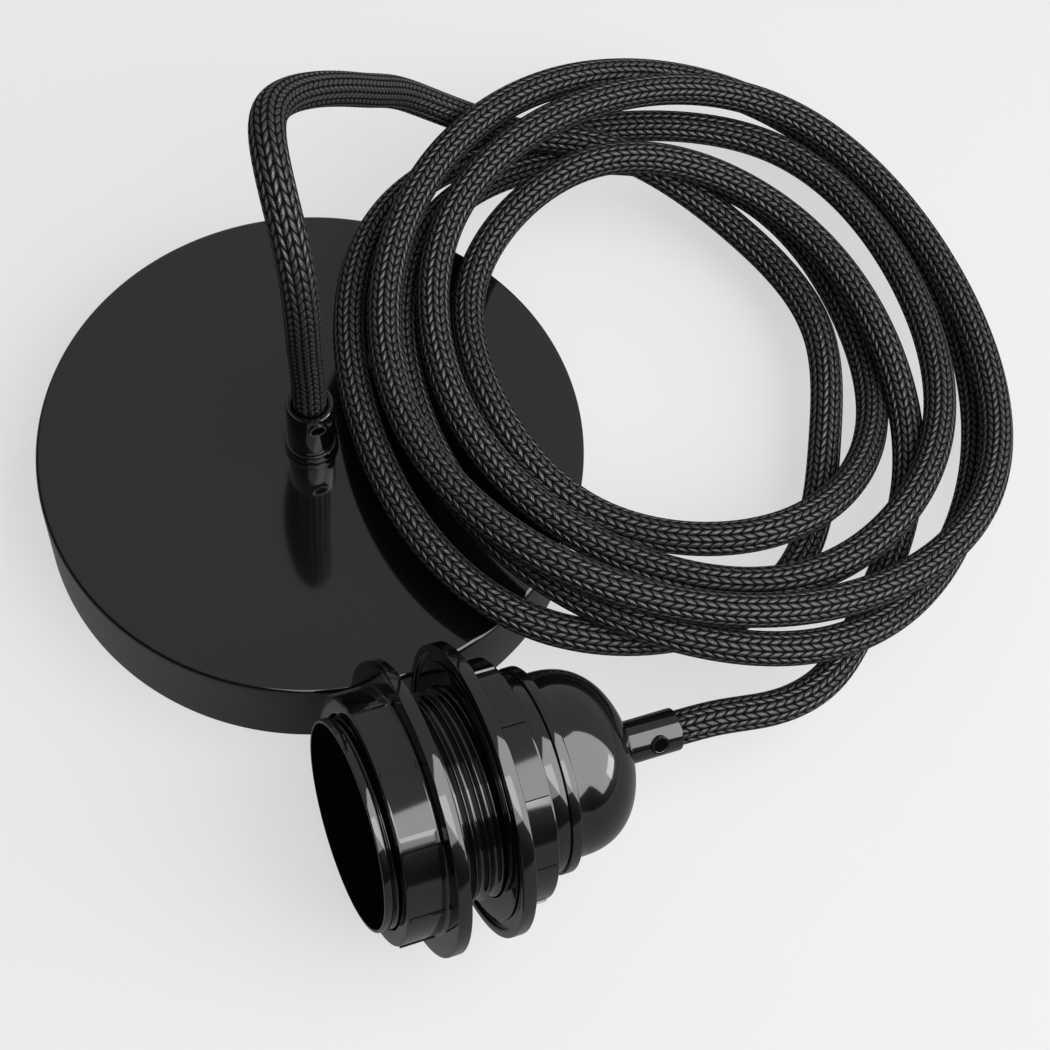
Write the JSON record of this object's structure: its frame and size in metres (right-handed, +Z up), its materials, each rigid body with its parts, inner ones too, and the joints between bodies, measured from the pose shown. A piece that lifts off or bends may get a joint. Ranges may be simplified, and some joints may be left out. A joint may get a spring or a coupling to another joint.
{
  "type": "pendant cord set",
  "caption": "Pendant cord set in black pearl metal: round ceiling canopy with cord grip, coiled braided cord, and a threaded lamp holder with shade rings and a domed cap.",
  "frame": {"origin": "centre of the box round the canopy and the lamp holder, on the surface that the set lies on", "axes": "+Z up from the surface, +Y from the lamp holder to the canopy, +X from the holder's mouth to its cord grip; the holder's mouth points along -X, raised by 6.58 degrees"},
  "size_m": [0.2029, 0.1769, 0.1009],
  "materials": {
    "pearl": "black pearl, mirror gloss",
    "cord": "black textile braid over a round cable",
    "zinc": "zinc plated",
    "brass": "plain brass",
    "black_plastic": "moulded, semi-gloss",
    "ivory_plastic": "moulded, satin",
    "core_live": "brown insulation",
    "core_neutral": "blue insulation",
    "core_earth": "green-yellow insulation"
  },
  "bodies": {
    "base": {"canopy_cup": "pearl", "canopy_collar": "pearl", "canopy_grip": "pearl", "canopy_grip_screw": "pearl", "holder_shell": "pearl", "dome_cap": "pearl", "holder_grip": "pearl", "holder_grip_screw": "pearl", "canopy_washer": "zinc", "canopy_locknut": "zinc", "holder_locknut": "zinc", "terminal_screw_1": "zinc", "terminal_screw_2": "zinc", "terminal_screw_3": "zinc", "terminal_screw_4": "zinc", "terminal_screw_5": "zinc", "terminal_screw_6": "zinc", "terminal_sleeve_1": "brass", "terminal_sleeve_2": "brass", "terminal_sleeve_3": "brass", "earth_lug": "brass", "screw_shell": "brass", "shell_screw_1": "brass", "shell_screw_2": "brass", "centre_contact": "brass", "centre_screw": "brass", "tag_live": "brass", "tag_neutral": "brass", "terminal_housing": "ivory_plastic", "socket_body": "black_plastic", "cord_tail_canopy": "cord", "cord_tail_holder": "cord", "cord_coil": "cord", "cord_run_canopy": "cord", "cord_run_holder": "cord", "core_live_canopy": "core_live", "core_live_holder": "core_live", "core_neutral_canopy": "core_neutral", "core_neutral_holder": "core_neutral", "core_earth_canopy": "core_earth", "core_earth_holder": "core_earth"},
    "front_ring": {"shade_ring_front": "pearl"},
    "rear_ring": {"shade_ring_rear": "pearl"}
  },
  "joints": [
    {"name": "front_ring_slide", "type": "slide", "parent": "base", "child": "front_ring", "axis": [-0.9934, 0, 0.1146], "range_m": [-0.0046, 0.009]},
    {"name": "rear_ring_slide", "type": "slide", "parent": "base", "child": "rear_ring", "axis": [-0.9934, 0, 0.1146], "range_m": [0, 0.0046]}
  ]
}
